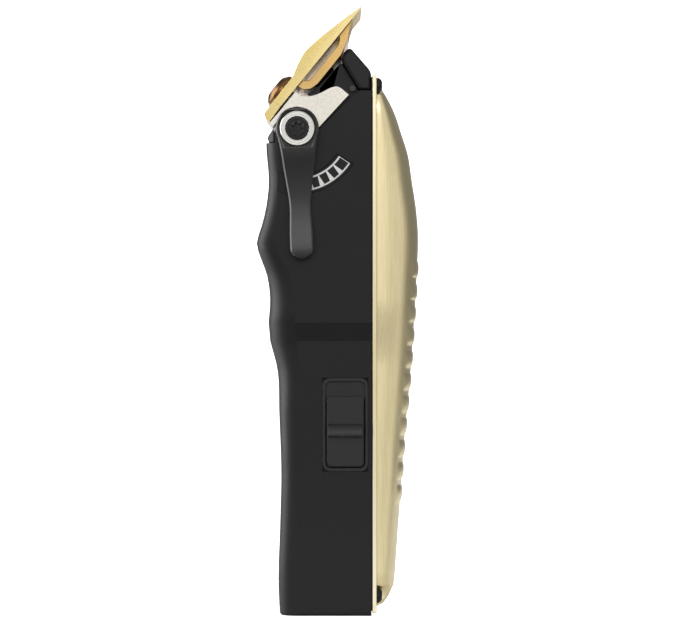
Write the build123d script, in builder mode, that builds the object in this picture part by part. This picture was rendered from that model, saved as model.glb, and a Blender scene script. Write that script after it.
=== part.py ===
from build123d import *
import os
from math import cos, radians, sin

# A cordless hair clipper standing on its base with the blades up. Millimetres.
# The base's centre is the origin, +Z runs to the blades, +X to the gold top cover,
# and the taper lever is on the -Y side.

os.makedirs("parts", exist_ok=True)

# ---- driving dimensions -------------------------------------------------------------
LOWER_HALF = 20.9            # half width of the lower body
UPPER_HALF = 22.0            # half width of the upper body and head
STEP_LOW, STEP_HIGH = 74.5, 79.5     # the side steps out between these heights
BACK = 11.95                 # housing face that meets the cover
FLANGE_IN, FLANGE_OUT = 12.25, 13.7  # the cover's flange
SHOULDER = 128.2             # top of the housing's skin-side wall
DECK = 142.3                 # top of the housing under the nose cap
WALL = 2.0

# skin side of the housing: height, x, corner radius
LOWER_SKIN = [(0, -12.9, 4.6), (10, -13.3, 4.8), (26, -12.8, 5.0), (39, -12.55, 5.2),
              (55, -13.1, 5.8), (66, -13.5, 6.6), (STEP_LOW, -15.6, 7.2)]
UPPER_SKIN = [(STEP_HIGH, -16.0, 7.2), (86, -15.6, 7.0), (92.3, -16.4, 6.4), (96.7, -18.0, 5.8),
              (101.1, -19.2, 5.4), (105.6, -17.9, 5.2), (111, -16.6, 5.0), (118, -15.9, 5.0),
              (SHOULDER, -16.6, 5.0), (DECK + 1, -15.6, 5.0)]
# crown of the cover: height, x, corner radius
COVER_CROWN = [(7.3, 18.35, 3.2), (24, 19.7, 4.4), (48.2, 21.5, 5.6), (68, 23.25, 6.6), (74.4, 23.7, 6.9),
               (81.3, 24.2, 7.2),
               (92, 24.8, 7.6), (102.3, 25.2, 7.8), (114.4, 24.1, 7.4), (125.4, 22.4, 6.4),
               (132.1, 20.3, 4.8), (138.7, 17.8, 3.0), (143.1, 15.3, 1.0)]
COVER_INSET = 1.3            # the crown's sides stand in from the flange's edge
COVER_WALL = 1.2
SKIN_STEP = 2.4              # height between the rows of the smooth skins
RIB_PITCH, RIB_WIDTH, RIB_HEIGHT, RIB_COUNT = 6.13, 4.3, 0.35, 11
TOP_RIB = 94.0

# blades: the tip, then a frame that runs down the blade and out from it
TIP_X, TIP_Z = 9.0, 165.0
DOWN = (-0.632, -0.775)      # x and z parts of the down-blade direction
OUT = (-0.775, 0.632)        # x and z parts of the outward direction
CONTACT = -0.36              # height of the plane where the two blades run
FIXED_HALF, CUTTER_HALF = 23.0, 20.0
SCREW_U, SCREW_SPACING = 31.3, 17.0
RUNNING = 0.05               # radial clearance of a running fit

# taper lever
PIVOT_X, PIVOT_Z = -8.1, 132.0
LEVER_TILT = 2.2
HEAD_R, LEVER_LENGTH = 5.85, 35.4
LEVER_IN, LEVER_OUT = 22.4, 25.0     # distances from the mid-plane
CRANK, CRANK_PIN_R, JOURNAL_R = 2.6, 1.3, 4.45
MID_SWING = 13.5             # lever angle where the crank stands square to the blade

# motor and drive
MOTOR_X, MOTOR_R = -0.5, 12.2
CAN_LOW, CAN_HIGH = 84.0, 114.6
SHAFT_R, ECCENTRIC_THROW, DRIVE_PIN_R = 1.15, 1.5, 1.5

# battery
CELL_X, CELL_R, CELL_LOW, CELL_LENGTH = 0.5, 9.2, 13.6, 65.0

# power slide
SLIDE_X = 4.9
BEZEL_LOW, BEZEL_HIGH = 39.2, 64.5

CORNER_SCREWS_Z = (5.4, 143.8)
CORNER_INSET = 3.6


def blade_point(along, outward):
    """A point of the blade frame as x and z."""
    return (TIP_X + along * DOWN[0] + outward * OUT[0], TIP_Z + along * DOWN[1] + outward * OUT[1])


def blade_place(x, z):
    """An x and z as distances along and out from the blade's tip."""
    dx, dz = x - TIP_X, z - TIP_Z
    return (dx * DOWN[0] + dz * DOWN[1], dx * OUT[0] + dz * OUT[1])


side_of_blade = Plane(origin=(TIP_X, 0, TIP_Z), x_dir=(DOWN[0], 0, DOWN[1]), z_dir=(0, 1, 0))
face_of_blade = Plane(origin=(TIP_X, 0, TIP_Z), x_dir=(0, 1, 0), z_dir=(OUT[0], 0, OUT[1]))
PIVOT_U, PIVOT_V = blade_place(PIVOT_X, PIVOT_Z)


def smooth_rows(points, step):
    """Rows spaced evenly between hand-set points, on a curve that runs smoothly through them."""
    rows = []
    for index in range(len(points) - 1):
        before = points[max(index - 1, 0)]
        low, high = points[index], points[index + 1]
        after = points[min(index + 2, len(points) - 1)]
        span = high[0] - low[0]
        pieces = max(1, round(span / step))
        for piece in range(pieces):
            t = piece / pieces
            row = [low[0] + span * t]
            for column in range(1, len(low)):
                leave = (high[column] - before[column]) / (high[0] - before[0]) * span
                arrive = (after[column] - low[column]) / (after[0] - low[0]) * span
                row.append((2 * t**3 - 3 * t**2 + 1) * low[column] + (t**3 - 2 * t**2 + t) * leave
                           + (3 * t**2 - 2 * t**3) * high[column] + (t**3 - t**2) * arrive)
            rows.append(tuple(row))
    rows.append(tuple(points[-1]))
    return rows


def body_section(height, front, half, corner, back):
    """A section with a flat back and two rounded skin-side corners."""
    with BuildSketch(Plane.XY.offset(height)) as section:
        with Locations(((front + back) / 2, 0)):
            Rectangle(back - front, 2 * half)
        fillet(section.vertices().group_by(Axis.X)[0], corner)
    return section.sketch


def crown_section(height, crown, half, corner, low):
    """A section of the cover with its two outer corners rounded."""
    with BuildSketch(Plane.XY.offset(height)) as section:
        with Locations(((crown + low) / 2, 0)):
            Rectangle(crown - low, 2 * half)
        fillet(section.vertices().group_by(Axis.X)[-1], corner)
    return section.sketch


def body_loft(inset, side_inset, back, mode=Mode.ADD):
    """The housing's long form, or the same form set in by a wall."""
    low_half, high_half = LOWER_HALF - inset, UPPER_HALF - side_inset
    lower = [body_section(height, front + inset, low_half, corner - inset, back)
             for height, front, corner in smooth_rows(LOWER_SKIN, SKIN_STEP)]
    upper = [body_section(height, front + inset, high_half, corner - inset, back)
             for height, front, corner in smooth_rows(UPPER_SKIN, SKIN_STEP)]
    loft(lower + upper, ruled=True, mode=mode)


def half_at(height):
    """Half width of the body at a height."""
    return LOWER_HALF if height < STEP_LOW else UPPER_HALF


def edge_outline(inset):
    """The body's outline seen from the cover's side, in Y and Z."""
    low, high = LOWER_HALF - inset, UPPER_HALF - inset
    top = 146.6 - inset
    Polyline((-low, 0.8 + inset), (low, 0.8 + inset), (low, STEP_LOW), (high, STEP_HIGH), (high, top),
             (-high, top), (-high, STEP_HIGH), (-low, STEP_LOW), close=True)


# ---- housing ------------------------------------------------------------------------
with BuildPart() as housing:
    body_loft(0, 0, BACK)
    body_loft(WALL, 1.35, BACK + 5, mode=Mode.SUBTRACT)
    # room beside the blade carrier, up to the skin-side wall
    with Locations((8, 0, 135)):
        Box(44, 2 * (UPPER_HALF - 1.35), 30, mode=Mode.SUBTRACT)
    # the top steps from the skin side to the slanted cheeks and the nose cap's deck
    with BuildSketch(Plane.XZ):
        with BuildLine():
            Polyline((-30, SHOULDER), (-14.2, SHOULDER), (-14.2, 131.7), (-2.2, 131.8), (8.73, DECK),
                     (30, DECK), (30, 160), (-30, 160), close=True)
        make_face()
    extrude(amount=30, both=True, mode=Mode.SUBTRACT)
    # floor and front lip that the inner form took away
    with BuildSketch(Plane.XY.offset(0)) as floor_sketch:
        with Locations(((BACK - 12.9) / 2, 0)):
            Rectangle(BACK + 12.9, 2 * LOWER_HALF)
        fillet(floor_sketch.vertices().group_by(Axis.X)[0], 4.6)
    extrude(amount=WALL)
    # bosses for the cover's lower screws
    with Locations(*[Location((BACK - 4, y, CORNER_SCREWS_Z[0]), (0, 90, 0))
                     for y in (-LOWER_HALF + CORNER_INSET, LOWER_HALF - CORNER_INSET)]):
        Cylinder(2.7, 8)
    with Locations(*[Location((BACK - 4, y, CORNER_SCREWS_Z[0]), (0, 90, 0))
                     for y in (-LOWER_HALF + CORNER_INSET, LOWER_HALF - CORNER_INSET)]):
        Cylinder(1.1, 9, mode=Mode.SUBTRACT)
    # bearing ear for the lever's journal
    with BuildSketch(Plane.XZ.offset(UPPER_HALF - 1.35)):
        with Locations((PIVOT_X, PIVOT_Z)):
            Circle(JOURNAL_R + 1.1)
    extrude(amount=1.35)
    with BuildSketch(Plane.XZ.offset(UPPER_HALF - 2)):
        with Locations((PIVOT_X, PIVOT_Z)):
            Circle(JOURNAL_R + RUNNING)
    extrude(amount=3, mode=Mode.SUBTRACT)
    # recess of the lever scale, an arc about the pivot that runs off the skin side
    with BuildSketch(Plane.XZ.offset(UPPER_HALF - 0.7)) as scale_recess:
        with Locations((PIVOT_X, PIVOT_Z)):
            Circle(18.0)
            Circle(12.6, mode=Mode.SUBTRACT)
        with BuildLine():
            Polyline((PIVOT_X, PIVOT_Z), (PIVOT_X - 30 * sin(radians(28)), PIVOT_Z - 30 * cos(radians(28))),
                     (PIVOT_X, PIVOT_Z - 40), (PIVOT_X + 30, PIVOT_Z - 30),
                     (PIVOT_X + 30 * sin(radians(58)), PIVOT_Z - 30 * cos(radians(58))), close=True)
        make_face(mode=Mode.INTERSECT)
    extrude(amount=3, mode=Mode.SUBTRACT)
    # window of the power slide
    with Locations((SLIDE_X, -LOWER_HALF + 0.6, (BEZEL_LOW + BEZEL_HIGH) / 2)):
        Box(12.4, 1.2, BEZEL_HIGH - BEZEL_LOW + 0.1, mode=Mode.SUBTRACT)
    with Locations((SLIDE_X, -LOWER_HALF + 1.5, 51.8)):
        Box(4.4, 4, 10.4, mode=Mode.SUBTRACT)
    # hole for the charging socket and the light
    with Locations((0, 0, 1)):
        Cylinder(4.1, 4, mode=Mode.SUBTRACT)
    with Locations((0, 9, 1)):
        Cylinder(1.3, 4, mode=Mode.SUBTRACT)
    fillet(housing.edges().filter_by(Axis.Y).group_by(Axis.Z)[0].sort_by(Axis.X)[:1], 1.0)
housing.part.label = "housing_shell"
export_step(housing.part, "parts/housing_shell.step")

with BuildPart() as collar:
    with BuildSketch(Plane.XZ):
        with BuildLine():
            Polyline((-15.9, SHOULDER + 0.3), (-16.2, 129.5), blade_point(42.6, -2.6), blade_point(40.6, -2.6),
                     (-14.3, 131.2), (-14.3, SHOULDER + 0.3), close=True)
        make_face()
    extrude(amount=20.5, both=True)
    with BuildSketch(Plane.XY.offset(SHOULDER)):
        with Locations((0, 0)):
            RectangleRounded(32.6, 43.6, 5)
    extrude(amount=6, mode=Mode.INTERSECT)
collar.part.label = "front_collar"
export_step(collar.part, "parts/front_collar.step")

# ---- cover, seal and corner screws ---------------------------------------------------
with BuildPart() as cover:
    crown_skin = [crown_section(height, crown, half_at(height) - COVER_INSET, corner, FLANGE_IN)
                  for height, crown, corner in COVER_CROWN]
    crown_skin.insert(0, crown_section(2.9, 15.9, LOWER_HALF - COVER_INSET, 1.2, FLANGE_IN))
    crown_skin.append(crown_section(145.2, 14.0, UPPER_HALF - COVER_INSET, 0.2, FLANGE_IN))
    loft(crown_skin, ruled=True)
    with BuildSketch(Plane.YZ.offset(FLANGE_IN)) as flange:
        with BuildLine():
            edge_outline(0)
        make_face()
        fillet(flange.vertices().group_by(Axis.Y)[0], 2.0)
        fillet(flange.vertices().group_by(Axis.Y)[-1], 2.0)
    extrude(amount=FLANGE_OUT - FLANGE_IN)
    for index in range(RIB_COUNT):
        height = TOP_RIB - index * RIB_PITCH
        crown = 19.7 + (height - 24) * (24.8 - 19.7) / (92 - 24)
        with Locations(Location((crown - 0.5, 0, height), (90, 0, 0))):
            Box(1.6, RIB_WIDTH, 24)
    loft([crown_section(height, crown - COVER_WALL, half_at(height) - COVER_INSET - COVER_WALL,
                        max(corner - COVER_WALL, 0.4), FLANGE_IN - 1)
          for height, crown, corner in COVER_CROWN], ruled=True, mode=Mode.SUBTRACT)
    for height in CORNER_SCREWS_Z:
        inset = half_at(height) - CORNER_INSET
        with Locations(*[Location((FLANGE_OUT + 5, y, height), (0, 90, 0)) for y in (-inset, inset)]):
            Cylinder(3.0, 10, mode=Mode.SUBTRACT)
        with Locations(*[Location((FLANGE_OUT, y, height), (0, 90, 0)) for y in (-inset, inset)]):
            Cylinder(1.2, 10, mode=Mode.SUBTRACT)
cover.part.label = "lid_shell"
export_step(cover.part, "parts/lid_shell.step")

with BuildPart() as gasket:
    with BuildSketch(Plane.YZ.offset(BACK)):
        with BuildLine():
            edge_outline(0.6)
        make_face()
        with BuildLine():
            edge_outline(1.3)
        make_face(mode=Mode.SUBTRACT)
    extrude(amount=FLANGE_IN - BACK)
gasket.part.label = "lid_gasket"
export_step(gasket.part, "parts/lid_gasket.step")

with BuildPart() as lid_screws:
    for height, shank in zip(CORNER_SCREWS_Z, (7.0, 4.0)):
        inset = half_at(height) - CORNER_INSET
        for y in (-inset, inset):
            with BuildSketch(Plane.XZ.offset(-y)):
                with BuildLine():
                    Line((FLANGE_OUT, height), (FLANGE_OUT, height + 2.5))
                    ThreePointArc((FLANGE_OUT, height + 2.5), (FLANGE_OUT + 1.25, height + 1.7),
                                  (FLANGE_OUT + 1.7, height))
                    Line((FLANGE_OUT + 1.7, height), (FLANGE_OUT, height))
                make_face()
            revolve(axis=Axis((0, y, height), (1, 0, 0)))
            with Locations(Location((FLANGE_OUT - shank / 2, y, height), (0, 90, 0))):
                Cylinder(1.0, shank)
            with Locations(Location((FLANGE_OUT + 1.7, y, height), (0, 90, 0))):
                Cylinder(1.0, 1.6, mode=Mode.SUBTRACT)
lid_screws.part.label = "lid_screws"
export_step(lid_screws.part, "parts/lid_screws.step")

# ---- head ----------------------------------------------------------------------------
with BuildPart() as nose:
    with BuildSketch(Plane.XZ):
        with BuildLine():
            Polyline((8.78, DECK + 0.02), (3.78, 150.45), (4.53, 152.7), (6.05, 154.2), (11.8, 147.6),
                     (11.92, 146.4), (11.92, DECK + 0.02), close=True)
        make_face()
    extrude(amount=UPPER_HALF - 0.6, both=True)
    chamfer(nose.faces().filter_by(Axis.Y).edges().filter_by(Axis.Y, reverse=True).group_by(Axis.Z)[-1], 0.8)
    inset = UPPER_HALF - CORNER_INSET
    with Locations(*[Location((11, y, CORNER_SCREWS_Z[1]), (0, 90, 0)) for y in (-inset, inset)]):
        Cylinder(1.1, 4, mode=Mode.SUBTRACT)
nose.part.label = "nose_cap"
export_step(nose.part, "parts/nose_cap.step")

HEAD_HALF = 18.4
with BuildPart() as head:
    with BuildSketch(Plane.XZ):
        with BuildLine():
            Polyline(blade_point(14.9, -5.3), blade_point(24.0, -5.3), blade_point(26.8, -8), (-1.74, 127),
                     (11.0, 127), (11.0, DECK - 0.1), (8.6, DECK - 0.1), close=True)
        make_face()
    extrude(amount=HEAD_HALF, both=True)
    # opening for the fork that drives the cutter
    with Locations((-0.6, 0, 140)):
        Box(8.6, 15, 40, mode=Mode.SUBTRACT)
head.part.label = "head_block"
export_step(head.part, "parts/head_block.step")

with BuildPart() as head_pins:
    pin_x, pin_z = blade_point(18.4, -12.2)
    for side in (-1, 1):
        with Locations(Location((pin_x, side * (HEAD_HALF + 0.75), pin_z), (90, 0, 0))):
            Cylinder(0.8, 1.4)
head_pins.part.label = "head_pins"
export_step(head_pins.part, "parts/head_pins.step")

# ---- blade set -----------------------------------------------------------------------
with BuildPart() as fixed_blade:
    with BuildSketch(side_of_blade):
        with BuildLine():
            Polyline((0, -0.1), (5.3, 1.3), (9.9, 2.35), (14.2, 3.25), (17.2, 3.7))
            ThreePointArc((17.2, 3.7), (18.7, 3.86), (20.0, 3.8))
            Polyline((20.0, 3.8), (23.2, 3.15), (26.4, 2.16), (34.6, 2.05), (38.6, 2.05))
            ThreePointArc((38.6, 2.05), (39.3, 1.4), (39.4, CONTACT))
            Polyline((39.4, CONTACT), (0, CONTACT), (0, -0.1))
        make_face()
    extrude(amount=FIXED_HALF, both=True)
    with BuildSketch(face_of_blade.offset(-2)):
        with GridLocations(1.28, 1, 35, 1):
            with Locations((0, 1.9)):
                Rectangle(0.6, 6.2)
    extrude(amount=6, mode=Mode.SUBTRACT)
    with BuildSketch(face_of_blade.offset(-2)):
        with Locations((-SCREW_SPACING / 2, SCREW_U), (SCREW_SPACING / 2, SCREW_U)):
            Circle(1.8)
    extrude(amount=6, mode=Mode.SUBTRACT)
    with BuildSketch(face_of_blade.offset(-2)):
        for side in (-1, 1):
            with BuildLine():
                Polyline((side * 25, 34.6), (side * 23, 34.6), (side * 18.5, 39.5), (side * 18.5, 42),
                         (side * 25, 42), close=True)
            make_face()
    extrude(amount=6, mode=Mode.SUBTRACT)
fixed_blade.part.label = "fixed_blade"
export_step(fixed_blade.part, "parts/fixed_blade.step")

# the cutter's running face stays just clear of the fixed blade
CUTTER_GAP = 0.04
cutter_shift = Vector(OUT[0], 0, OUT[1]) * (CONTACT - CUTTER_GAP)
cutter_side = Plane(origin=side_of_blade.origin + cutter_shift, x_dir=side_of_blade.x_dir, z_dir=side_of_blade.z_dir)
cutter_face = Plane(origin=face_of_blade.origin + cutter_shift, x_dir=face_of_blade.x_dir, z_dir=face_of_blade.z_dir)
with BuildPart() as cutter:
    with BuildSketch(cutter_side):
        with BuildLine():
            Polyline((3.8, -0.02), (9.6, -0.02), (10.4, -0.8), (11.8, -1.45), (24.1, -1.45), (25.4, -0.02),
                     (27.4, -0.02), (27.3, -0.5), (27.1, -1.8), (25.7, -3.1), (23.5, -3.75),
                     (13.4, -3.75), (11.4, -3.25), (8.75, -2.4), (6.15, -0.95), close=True)
        make_face()
    extrude(amount=CUTTER_HALF, both=True)
    with BuildSketch(cutter_face.offset(-6)):
        with GridLocations(1.5, 1, 26, 1):
            with Locations((0, 5.8)):
                Rectangle(0.7, 5.2)
    extrude(amount=8, mode=Mode.SUBTRACT)
cutter.part.label = "cutter_blade"
export_step(cutter.part, "parts/cutter_blade.step")

FORK_LOW = 131.6
with BuildPart() as yoke:
    with BuildSketch(Plane.XZ):
        with BuildLine():
            Polyline((-3.2, FORK_LOW), (2.2, FORK_LOW), (2.2, 147.0), blade_point(16.8, -4.18),
                     blade_point(23.3, -4.18), (-3.2, 142.0), close=True)
        make_face()
    extrude(amount=5, both=True)
    with Locations((-0.5, 0, FORK_LOW + 2)):
        Box(12, 2 * DRIVE_PIN_R + 0.2, 4.4, mode=Mode.SUBTRACT)
yoke.part.label = "cutter_yoke"
export_step(yoke.part, "parts/cutter_yoke.step")

with BuildPart() as spring:
    with BuildSketch(Plane.XZ):
        with BuildLine():
            Polyline((3.28, 128), (3.28, 133), (2.7, 139), (2.7, 145.5), (3.1, 145.5), (3.1, 139.1),
                     (3.68, 133.1), (3.68, 128), close=True)
        make_face()
    extrude(amount=5.5, both=True)
spring.part.label = "blade_spring"
export_step(spring.part, "parts/blade_spring.step")

EAR_OUT, EAR_IN = 20.3, 18.8
with BuildPart() as carrier:
    for ear in (side_of_blade.offset(EAR_IN), side_of_blade.offset(-EAR_OUT)):
        with BuildSketch(ear):
            with BuildLine():
                Polyline((20.6, -8.8), (20.35, -9.8), (20.4, -12.6), (23.5, -12.4), (32.2, -11.9),
                         (36.5, -10.8), (39.2, -8.0), (39.2, -4.4), (37.9, -2.1), (40.3, -2.1), (40.2, -0.8),
                         (30.0, -0.8), (28.9, -2.4))
                Spline((28.9, -2.4), (27.5, -4.5), (24.0, -6.7), (21.5, -7.9), (20.6, -8.8))
            make_face()
        extrude(amount=EAR_OUT - EAR_IN)
    with BuildSketch(side_of_blade):
        with BuildLine():
            Polyline((28.9, -0.8), (40.2, -0.8), (40.3, -2.1), (28.9, -2.1), close=True)
        make_face()
    extrude(amount=EAR_OUT, both=True)
    with BuildSketch(face_of_blade.offset(-0.9)):
        with Locations((-SCREW_SPACING / 2, SCREW_U), (SCREW_SPACING / 2, SCREW_U)):
            Circle(2.35)
    extrude(amount=0.48)
    with BuildSketch(face_of_blade.offset(-4)):
        with Locations((-SCREW_SPACING / 2, SCREW_U), (SCREW_SPACING / 2, SCREW_U)):
            Circle(1.8)
    extrude(amount=6, mode=Mode.SUBTRACT)
    # slot that the crank pin works in, on the lever's side only
    rest_u = PIVOT_U - CRANK * sin(radians(MID_SWING))
    with BuildSketch(side_of_blade.offset(-EAR_OUT - 1)):
        with Locations((rest_u, PIVOT_V + CRANK - 0.15)):
            Rectangle(2 * CRANK_PIN_R + 0.2, 2 * CRANK_PIN_R + 0.9)
    extrude(amount=4, mode=Mode.SUBTRACT)
carrier.part.label = "blade_carrier"
export_step(carrier.part, "parts/blade_carrier.step")

with BuildPart() as nut_bar:
    with BuildSketch(face_of_blade.offset(-4.4)):
        with Locations((0, SCREW_U)):
            RectangleRounded(26, 6, 2)
        with Locations((-SCREW_SPACING / 2, SCREW_U), (SCREW_SPACING / 2, SCREW_U)):
            Circle(1.75, mode=Mode.SUBTRACT)
    extrude(amount=2.25)
nut_bar.part.label = "blade_nut_bar"
export_step(nut_bar.part, "parts/blade_nut_bar.step")

with BuildPart() as blade_screws:
    screw_x, screw_z = blade_point(SCREW_U, 0)
    for side in (-1, 1):
        screw_plane = Plane(origin=(screw_x, side * SCREW_SPACING / 2, screw_z), x_dir=(0, 1, 0),
                            z_dir=(OUT[0], 0, OUT[1]))
        with BuildSketch(screw_plane.offset(-4.6)):
            Circle(1.7)
        extrude(amount=6.8)
        with BuildSketch(screw_plane.offset(2.2)):
            Circle(4.7)
        extrude(amount=1.0)
        with BuildSketch(screw_plane.offset(3.1)):
            Circle(4.7)
        extrude(amount=1.3, taper=42)
        with BuildSketch(screw_plane.offset(3.4)):
            Circle(1.5)
        extrude(amount=2, mode=Mode.SUBTRACT)
blade_screws.part.label = "blade_screws"
export_step(blade_screws.part, "parts/blade_screws.step")

# ---- taper lever ---------------------------------------------------------------------
def lever_plane(distance):
    """A plane across the lever's axis, at a distance from the mid-plane, with the arm down."""
    tilt = radians(LEVER_TILT)
    return Plane(origin=(PIVOT_X, -distance, PIVOT_Z), x_dir=(cos(tilt), 0, sin(tilt)), z_dir=(0, -1, 0))


with BuildPart() as lever:
    with BuildSketch(lever_plane(LEVER_IN)):
        with BuildLine():
            right = Spline((5.3, -2.4), (4.05, -11.3), (3.3, -16.7), (2.85, -20.7), (3.05, -27), (3.1, -32.3))
            ThreePointArc((3.1, -32.3), (0, -LEVER_LENGTH), (-3.1, -32.3))
            mirror(right, about=Plane.YZ)
            Line((-5.3, -2.4), (5.3, -2.4))
        make_face()
        Circle(HEAD_R)
        Circle(3.2, mode=Mode.SUBTRACT)
    extrude(amount=LEVER_OUT - LEVER_IN)
    with BuildSketch(lever_plane(LEVER_OUT - 0.5)):
        Circle(4.95)
    extrude(amount=1, mode=Mode.SUBTRACT)
    with BuildSketch(lever_plane(LEVER_IN)):
        Circle(HEAD_R - 1.5)
        Circle(1.7, mode=Mode.SUBTRACT)
    extrude(amount=1.2)
lever.part.label = "taper_lever"
export_step(lever.part, "parts/taper_lever.step")

with BuildPart() as ring:
    with BuildSketch(lever_plane(LEVER_OUT - 0.48)):
        Circle(4.87)
        Circle(3.25, mode=Mode.SUBTRACT)
    extrude(amount=0.85)
ring.part.label = "lever_ring"
export_step(ring.part, "parts/lever_ring.step")

with BuildPart() as lever_screw:
    with BuildSketch(lever_plane(LEVER_IN + 1.25)):
        Circle(3.1)
    extrude(amount=1.8)
    with BuildSketch(lever_plane(LEVER_IN - 1.3)):
        Circle(1.6)
    extrude(amount=2.7)
    with BuildSketch(lever_plane(LEVER_IN + 2.3)):
        RegularPolygon(1.2, 6)
    extrude(amount=2, mode=Mode.SUBTRACT)
lever_screw.part.label = "lever_screw"
export_step(lever_screw.part, "parts/lever_screw.step")

with BuildPart() as cam:
    with BuildSketch(lever_plane(UPPER_HALF - 1.4)):
        Circle(JOURNAL_R)
    extrude(amount=1.75)
    crank_u = PIVOT_U - CRANK * sin(radians(MID_SWING))
    crank_v = PIVOT_V + CRANK * cos(radians(MID_SWING))
    with BuildSketch(Plane.XZ.offset(EAR_IN - 0.3)):
        with Locations(blade_point(crank_u, crank_v)):
            Circle(CRANK_PIN_R)
    extrude(amount=UPPER_HALF - 1.3 - EAR_IN + 0.3)
    with BuildSketch(lever_plane(UPPER_HALF - 1)):
        Circle(1.65)
    extrude(amount=3, mode=Mode.SUBTRACT)
cam.part.label = "lever_cam"
export_step(cam.part, "parts/lever_cam.step")

with BuildPart() as scale_plate:
    with BuildSketch(Plane.XZ.offset(UPPER_HALF - 0.68)) as plate_sketch:
        with Locations((PIVOT_X, PIVOT_Z)):
            Circle(17.8)
            Circle(12.8, mode=Mode.SUBTRACT)
        with BuildLine():
            Polyline((PIVOT_X, PIVOT_Z), (PIVOT_X, PIVOT_Z - 40), (PIVOT_X + 30, PIVOT_Z - 30),
                     (PIVOT_X + 30 * sin(radians(57)), PIVOT_Z - 30 * cos(radians(57))), close=True)
        make_face(mode=Mode.INTERSECT)
    extrude(amount=0.25)
scale_plate.part.label = "scale_plate"
export_step(scale_plate.part, "parts/scale_plate.step")

# ---- power slide ---------------------------------------------------------------------
BEZEL_MID = (BEZEL_LOW + BEZEL_HIGH) / 2
with BuildPart() as bezel:
    with BuildSketch(Plane.XZ.offset(LOWER_HALF - 1.15)):
        with Locations((SLIDE_X, BEZEL_MID)):
            RectangleRounded(12.3, BEZEL_HIGH - BEZEL_LOW, 2)
    extrude(amount=1.45)
    with BuildSketch(Plane.XZ.offset(LOWER_HALF - 0.6)):
        with Locations((SLIDE_X, BEZEL_MID)):
            RectangleRounded(10.6, 23.4, 1.4)
    extrude(amount=2, mode=Mode.SUBTRACT)
    with Locations((SLIDE_X, -LOWER_HALF + 1, 51.8)):
        Box(4.0, 3, 9.6, mode=Mode.SUBTRACT)
bezel.part.label = "switch_bezel"
export_step(bezel.part, "parts/switch_bezel.step")

with BuildPart() as slide:
    with BuildSketch(Plane.XZ.offset(LOWER_HALF - 0.3)):
        with Locations((SLIDE_X, 50.0)):
            RectangleRounded(9.9, 18.8, 1.1)
    extrude(amount=0.9)
    with BuildSketch(Plane.XZ.offset(LOWER_HALF + 0.5)):
        with Locations((SLIDE_X, 50.2)):
            RectangleRounded(9.5, 3.0, 0.7)
    extrude(amount=1.4, taper=12)
    with BuildSketch(Plane.XZ.offset(LOWER_HALF - 2.6)):
        with Locations((SLIDE_X, 50.0)):
            Rectangle(3.2, 4.6)
    extrude(amount=2.4)
slide.part.label = "power_slider"
export_step(slide.part, "parts/power_slider.step")

SWITCH_IN, SWITCH_OUT = 12.6, 17.8
with BuildPart() as actuator:
    with BuildSketch(Plane.XZ.offset(SWITCH_OUT - 1.6)):
        with Locations((SLIDE_X, 50.0)):
            Rectangle(2.4, 3.2)
    extrude(amount=LOWER_HALF - 2.65 - SWITCH_OUT + 1.6)
actuator.part.label = "switch_actuator"
export_step(actuator.part, "parts/switch_actuator.step")

with BuildPart() as switch_body:
    with BuildSketch(Plane.XZ.offset(SWITCH_IN)):
        with Locations((SLIDE_X, 52.0)):
            Rectangle(8, 14)
    extrude(amount=SWITCH_OUT - 0.3 - SWITCH_IN)
    with BuildSketch(Plane.XZ.offset(SWITCH_OUT - 2.2)):
        with Locations((SLIDE_X, 52.0)):
            Rectangle(3.2, 9)
    extrude(amount=3, mode=Mode.SUBTRACT)
switch_body.part.label = "switch_body"
export_step(switch_body.part, "parts/switch_body.step")

# ---- motor and turning parts -----------------------------------------------------------
with BuildPart() as can:
    with Locations((MOTOR_X, 0, (CAN_LOW + CAN_HIGH) / 2)):
        Cylinder(MOTOR_R, CAN_HIGH - CAN_LOW)
        with Locations((0, 0, -1)):
            Cylinder(MOTOR_R - 0.9, CAN_HIGH - CAN_LOW - 0.8, mode=Mode.SUBTRACT)
        Cylinder(2.6, 60, mode=Mode.SUBTRACT)
can.part.label = "motor_can"
export_step(can.part, "parts/motor_can.step")

with BuildPart() as bush:
    with Locations((MOTOR_X, 0, CAN_HIGH - 0.4)):
        Cylinder(2.55, 2.6)
        Cylinder(SHAFT_R + RUNNING, 5, mode=Mode.SUBTRACT)
bush.part.label = "front_bush"
export_step(bush.part, "parts/front_bush.step")

with BuildPart() as end_cap:
    with Locations((MOTOR_X, 0, CAN_LOW - 1.2)):
        Cylinder(MOTOR_R - 0.1, 2.3)
        Cylinder(SHAFT_R + RUNNING, 5, mode=Mode.SUBTRACT)
end_cap.part.label = "motor_end_cap"
export_step(end_cap.part, "parts/motor_end_cap.step")

with BuildPart() as magnets:
    with BuildSketch(Plane.XY.offset(90)):
        with Locations((MOTOR_X, 0)):
            Circle(MOTOR_R - 0.95)
            Circle(9.6, mode=Mode.SUBTRACT)
            Rectangle(6, 40, mode=Mode.SUBTRACT)
    extrude(amount=19)
magnets.part.label = "motor_magnets"
export_step(magnets.part, "parts/motor_magnets.step")

with BuildPart() as bracket:
    with BuildSketch(Plane.XY.offset(CAN_HIGH + 0.05)):
        with Locations((MOTOR_X - 0.2, 0)):
            RectangleRounded(23, 2 * UPPER_HALF - 3.2, 3)
        with Locations((MOTOR_X, 0)):
            Circle(3.2, mode=Mode.SUBTRACT)
            with Locations((0, -8.5), (0, 8.5)):
                Circle(1.3, mode=Mode.SUBTRACT)
    extrude(amount=1.6)
bracket.part.label = "motor_bracket"
export_step(bracket.part, "parts/motor_bracket.step")

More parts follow.
